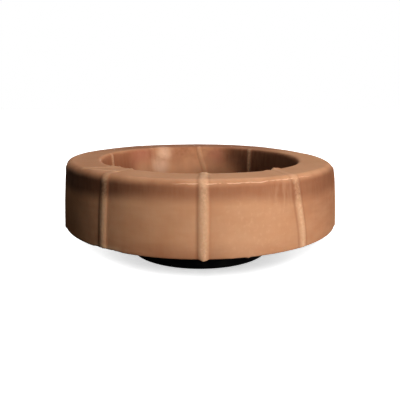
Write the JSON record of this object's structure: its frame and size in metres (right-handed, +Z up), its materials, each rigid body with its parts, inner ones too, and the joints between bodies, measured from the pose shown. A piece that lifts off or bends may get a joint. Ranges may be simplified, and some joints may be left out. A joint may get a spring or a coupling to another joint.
{
  "type": "toilet wax ring",
  "caption": "Thick ribbed ring of brown wax cast around the flange of a black plastic horn, whose short neck comes out below to enter the drain pipe.",
  "frame": {"origin": "centre of the horn's lower rim, on the surface that the part stands on", "axes": "+Z up along the ring's axis, out of the drain pipe towards the toilet; a rib stands at -Y, and +X runs midway between two ribs"},
  "size_m": [0.1386, 0.1398, 0.0484],
  "materials": {
    "brown_wax": "satin brown plumber's wax, slightly translucent, with faint mould lines and smears",
    "black_plastic": "moulded black polyethylene with a soft sheen"
  },
  "bodies": {
    "root": {"wax_ring": "brown_wax", "plastic_horn": "black_plastic"}
  },
  "joints": []
}
